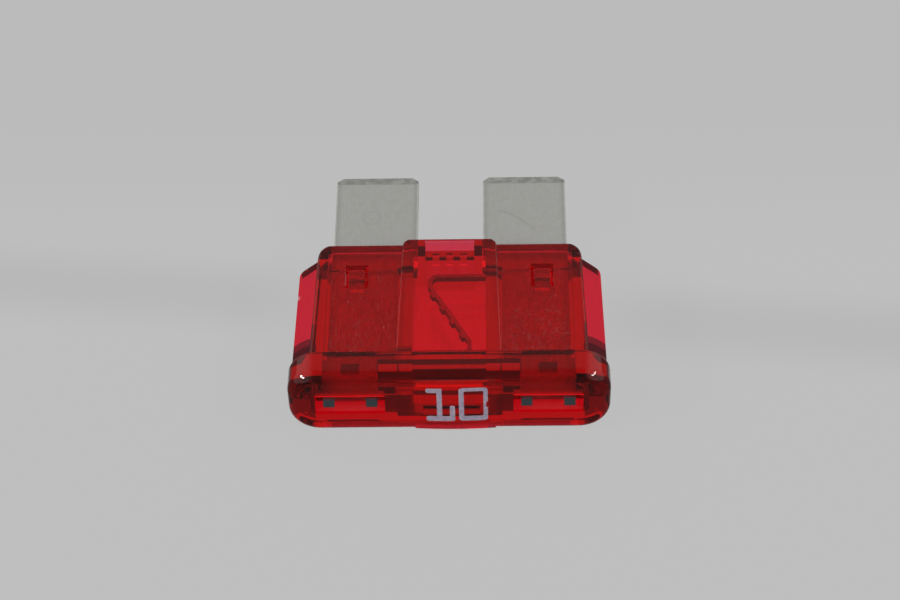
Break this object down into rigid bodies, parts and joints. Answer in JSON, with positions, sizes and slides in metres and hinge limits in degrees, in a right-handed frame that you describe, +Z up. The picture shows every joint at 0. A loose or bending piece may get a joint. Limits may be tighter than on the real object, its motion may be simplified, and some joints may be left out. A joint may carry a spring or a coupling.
{
  "type": "automotive blade fuse",
  "caption": "Regular-size automotive blade fuse: a see-through red housing round a stamped zinc element with flat plug-in blades and a thin link that melts on overload.",
  "frame": {"origin": "middle of the box's underside, with the fuse lying flat on one wide face", "axes": "+X across the blades, +Y towards the blade tips, +Z up, through the fuse's thickness"},
  "size_m": [0.019, 0.0186, 0.0051],
  "materials": {
    "red_plastic": "clear red moulded plastic, glossy",
    "zinc": "rolled zinc alloy sheet, dull silver grey with a fine grain along the blades"
  },
  "bodies": {
    "root": {"housing": "red_plastic", "fuse_element": "zinc"}
  },
  "joints": []
}
